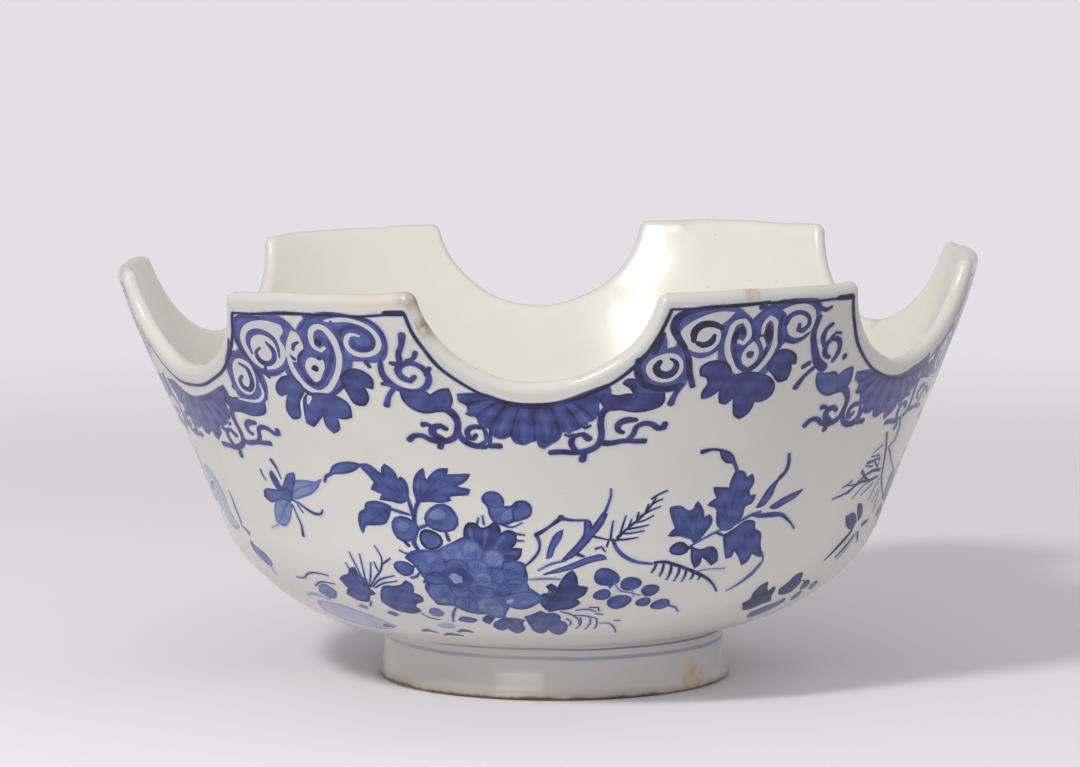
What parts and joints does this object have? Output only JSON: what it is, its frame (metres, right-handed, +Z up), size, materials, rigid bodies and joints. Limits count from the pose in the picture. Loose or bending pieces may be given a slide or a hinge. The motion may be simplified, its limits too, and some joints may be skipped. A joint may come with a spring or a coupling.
{
  "type": "wine glass cooler",
  "caption": "Deep round glazed bowl on a foot ring, its rim cut with round notches that wine glasses hang in by their feet over cold water.",
  "frame": {"origin": "on the bowl's axis, in the plane that the foot ring stands on", "axes": "+Z up along the bowl's axis, +X through the middle of a raised part of the rim, -Y through the middle of the notch that faces the viewer"},
  "size_m": [0.3278, 0.3144, 0.1615],
  "materials": {
    "glazed_body": "glossy white tin glaze, painted in cobalt blue",
    "glazed_foot": "glossy white tin glaze, bare brown standing edge"
  },
  "bodies": {
    "root": {"bowl_body": "glazed_body", "foot_ring": "glazed_foot"}
  },
  "joints": []
}
